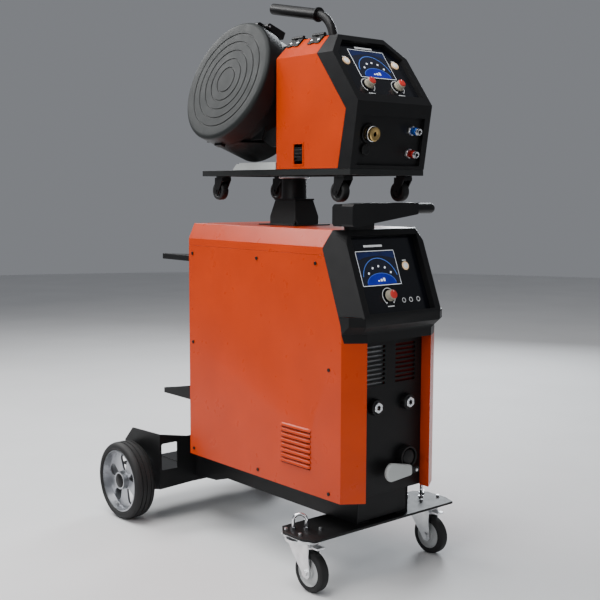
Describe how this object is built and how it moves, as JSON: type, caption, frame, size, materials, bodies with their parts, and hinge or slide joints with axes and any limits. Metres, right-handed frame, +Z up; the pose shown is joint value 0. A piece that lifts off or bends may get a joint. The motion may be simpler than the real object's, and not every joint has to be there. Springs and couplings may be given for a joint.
{
  "type": "mig welder on cart",
  "caption": "Wheeled welding power source with a swivelling wire feeder and a tilted spool drum on top, and a gas-bottle bay behind.",
  "frame": {"origin": "on the ground under the middle of the machine's bounding box", "axes": "+Z up, the front panels face -Y, the feeder door and the spool drum are on the -X side"},
  "size_m": [0.572, 0.9764, 1.4493],
  "materials": {
    "black_paint": "satin powder coat",
    "orange_paint": "satin orange powder coat",
    "black_plastic": "fine grained moulded plastic",
    "control_panel": "printed film and glass",
    "zinc_steel": "zinc plated",
    "plated_metal": "machined and plated",
    "core_steel": "varnished laminations",
    "heatsink_aluminium": "extruded",
    "grey_knob": "moulded",
    "pale_plastic": "moulded",
    "grey_plastic": "fine grained moulded plastic",
    "caster_tread": "moulded tread",
    "wheel_rubber": "rubber"
  },
  "bodies": {
    "root": {"base_rails": "black_paint", "front_plate": "black_paint", "axle_bracket": "black_paint", "bottle_platform": "black_paint", "bottle_saddles": "black_paint", "hardware": "zinc_steel", "tie_rings": "zinc_steel", "floor_pan": "black_paint", "left_side_panel": "orange_paint", "right_side_panel": "orange_paint", "top_cover": "orange_paint", "rear_panel": "black_paint", "front_panel": "black_paint", "hood": "black_plastic", "source_panel": "control_panel", "front_sockets": "plated_metal", "transformer": "core_steel", "inverter_module": "heatsink_aluminium", "front_handle": "black_plastic", "pivot_pedestal": "black_paint", "pivot_post": "black_paint"},
    "fan": {"fan_rotor": "black_plastic"},
    "power_switch": {"power_switch": "black_plastic"},
    "source_knob": {"source_knob": "grey_knob"},
    "source_button": {"source_button": "pale_plastic"},
    "socket_cap": {"socket_cap": "pale_plastic"},
    "front_fork_left": {"front_fork_left": "zinc_steel"},
    "front_fork_right": {"front_fork_right": "zinc_steel"},
    "front_wheel_left": {"front_wheel_left": "caster_tread"},
    "front_wheel_right": {"front_wheel_right": "caster_tread"},
    "rear_wheel_left": {"rear_wheel_left": "wheel_rubber"},
    "rear_wheel_right": {"rear_wheel_right": "wheel_rubber"},
    "feeder": {"feeder_tray": "black_paint", "feeder_shell": "orange_paint", "feeder_bezel": "black_plastic", "feeder_panel": "control_panel", "spool_bracket": "zinc_steel", "drum_shell": "grey_plastic", "drum_cradle": "grey_plastic", "torch_fittings": "plated_metal", "wire_drive": "zinc_steel", "feeder_handle": "black_plastic"},
    "feeder_door": {"feeder_door": "orange_paint"},
    "door_latch": {"door_latch": "black_plastic"},
    "spool_cover": {"spool_cover": "grey_plastic"},
    "spool": {"spool": "pale_plastic"},
    "drive_roll": {"drive_roll": "zinc_steel"},
    "pressure_arm": {"pressure_arm": "black_plastic"},
    "feeder_knob_left": {"feeder_knob_left": "grey_knob"},
    "feeder_knob_right": {"feeder_knob_right": "grey_knob"},
    "feeder_button_left": {"feeder_button_left": "pale_plastic"},
    "feeder_button_right": {"feeder_button_right": "pale_plastic"},
    "small_fork_front_left": {"small_fork_front_left": "black_plastic"},
    "small_fork_front_right": {"small_fork_front_right": "black_plastic"},
    "small_fork_rear_left": {"small_fork_rear_left": "black_plastic"},
    "small_fork_rear_right": {"small_fork_rear_right": "black_plastic"},
    "small_wheel_front_left": {"small_wheel_front_left": "caster_tread"},
    "small_wheel_front_right": {"small_wheel_front_right": "caster_tread"},
    "small_wheel_rear_left": {"small_wheel_rear_left": "caster_tread"},
    "small_wheel_rear_right": {"small_wheel_rear_right": "caster_tread"}
  },
  "joints": [
    {"name": "fan_spin", "type": "hinge", "parent": "root", "child": "fan", "pos_m": [0, 0.15925, 0.544], "axis": [0, 1, 0], "continuous": true},
    {"name": "power_switch_turn", "type": "hinge", "parent": "root", "child": "power_switch", "pos_m": [-0.095, 0.18325, 0.684], "axis": [0, 1, 0], "range_deg": [0, 90]},
    {"name": "source_knob_turn", "type": "hinge", "parent": "root", "child": "source_knob", "pos_m": [-0.02, -0.47047, 0.70873], "axis": [0, 0.9346, -0.3556], "continuous": true},
    {"name": "source_button_press", "type": "slide", "parent": "root", "child": "source_button", "axis": [0, 0.9346, -0.3556], "range_m": [0, 0.0015], "stiffness_N_per_m": 600},
    {"name": "socket_cap_swing", "type": "hinge", "parent": "root", "child": "socket_cap", "pos_m": [0.066, -0.46575, 0.266], "axis": [0, 1, 0], "range_deg": [0, 50]},
    {"name": "front_swivel_left", "type": "hinge", "parent": "root", "child": "front_fork_left", "pos_m": [-0.209, -0.36375, 0.13], "axis": [0, 0, 1], "continuous": true},
    {"name": "front_wheel_left_spin", "type": "hinge", "parent": "front_fork_left", "child": "front_wheel_left", "pos_m": [-0.209, -0.39675, 0.05], "axis": [1, 0, 0], "continuous": true},
    {"name": "rear_wheel_left_spin", "type": "hinge", "parent": "root", "child": "rear_wheel_left", "pos_m": [-0.2535, 0.37625, 0.112], "axis": [1, 0, 0], "continuous": true},
    {"name": "front_swivel_right", "type": "hinge", "parent": "root", "child": "front_fork_right", "pos_m": [0.209, -0.36375, 0.13], "axis": [0, 0, 1], "continuous": true},
    {"name": "front_wheel_right_spin", "type": "hinge", "parent": "front_fork_right", "child": "front_wheel_right", "pos_m": [0.209, -0.39675, 0.05], "axis": [1, 0, 0], "continuous": true},
    {"name": "rear_wheel_right_spin", "type": "hinge", "parent": "root", "child": "rear_wheel_right", "pos_m": [0.2535, 0.37625, 0.112], "axis": [1, 0, 0], "continuous": true},
    {"name": "feeder_swivel", "type": "hinge", "parent": "root", "child": "feeder", "pos_m": [0, -0.07875, 0.991], "axis": [0, 0, 1], "range_deg": [-160, 160]},
    {"name": "feeder_door_hinge", "type": "hinge", "parent": "feeder", "child": "feeder_door", "pos_m": [-0.076, -0.21275, 1.331], "axis": [0, 1, 0], "range_deg": [0, 110]},
    {"name": "door_latch_slide", "type": "slide", "parent": "feeder_door", "child": "door_latch", "axis": [0, 0, 1], "range_m": [0, 0.007], "stiffness_N_per_m": 200},
    {"name": "spool_cover_hinge", "type": "hinge", "parent": "feeder", "child": "spool_cover", "pos_m": [-0.0474, 0.00925, 1.3801], "axis": [0, 1, 0], "range_deg": [0, 100]},
    {"name": "spool_spin", "type": "hinge", "parent": "feeder", "child": "spool", "pos_m": [-0.161, 0.00925, 1.239], "axis": [0.9367, 0, -0.3502], "continuous": true},
    {"name": "drive_roll_spin", "type": "hinge", "parent": "feeder", "child": "drive_roll", "pos_m": [-0.072, -0.29075, 1.069], "axis": [1, 0, 0], "continuous": true},
    {"name": "pressure_arm_lift", "type": "hinge", "parent": "feeder", "child": "pressure_arm", "pos_m": [-0.072, -0.23475, 1.139], "axis": [-1, 0, 0], "range_deg": [0, 45]},
    {"name": "feeder_knob_left_turn", "type": "hinge", "parent": "feeder", "child": "feeder_knob_left", "pos_m": [-0.05, -0.4166, 1.20869], "axis": [0, 0.8031, -0.5959], "continuous": true},
    {"name": "feeder_button_left_press", "type": "slide", "parent": "feeder", "child": "feeder_button_left", "axis": [0, 0.8031, -0.5959], "range_m": [0, 0.0015], "stiffness_N_per_m": 600},
    {"name": "feeder_knob_right_turn", "type": "hinge", "parent": "feeder", "child": "feeder_knob_right", "pos_m": [0.05, -0.4166, 1.20869], "axis": [0, 0.8031, -0.5959], "continuous": true},
    {"name": "feeder_button_right_press", "type": "slide", "parent": "feeder", "child": "feeder_button_right", "axis": [0, 0.8031, -0.5959], "range_m": [0, 0.0015], "stiffness_N_per_m": 600},
    {"name": "small_swivel_front_left", "type": "hinge", "parent": "feeder", "child": "small_fork_front_left", "pos_m": [-0.1016, -0.38295, 0.984], "axis": [0, 0, 1], "continuous": true},
    {"name": "small_wheel_front_left_spin", "type": "hinge", "parent": "small_fork_front_left", "child": "small_wheel_front_left", "pos_m": [-0.1016, -0.36895, 0.952], "axis": [1, 0, 0], "continuous": true},
    {"name": "small_swivel_front_right", "type": "hinge", "parent": "feeder", "child": "small_fork_front_right", "pos_m": [0.1016, -0.38295, 0.984], "axis": [0, 0, 1], "continuous": true},
    {"name": "small_wheel_front_right_spin", "type": "hinge", "parent": "small_fork_front_right", "child": "small_wheel_front_right", "pos_m": [0.1016, -0.36895, 0.952], "axis": [1, 0, 0], "continuous": true},
    {"name": "small_swivel_rear_left", "type": "hinge", "parent": "feeder", "child": "small_fork_rear_left", "pos_m": [-0.1016, 0.09925, 0.984], "axis": [0, 0, 1], "continuous": true},
    {"name": "small_wheel_rear_left_spin", "type": "hinge", "parent": "small_fork_rear_left", "child": "small_wheel_rear_left", "pos_m": [-0.1016, 0.11325, 0.952], "axis": [1, 0, 0], "continuous": true},
    {"name": "small_swivel_rear_right", "type": "hinge", "parent": "feeder", "child": "small_fork_rear_right", "pos_m": [0.1016, 0.09925, 0.984], "axis": [0, 0, 1], "continuous": true},
    {"name": "small_wheel_rear_right_spin", "type": "hinge", "parent": "small_fork_rear_right", "child": "small_wheel_rear_right", "pos_m": [0.1016, 0.11325, 0.952], "axis": [1, 0, 0], "continuous": true}
  ]
}
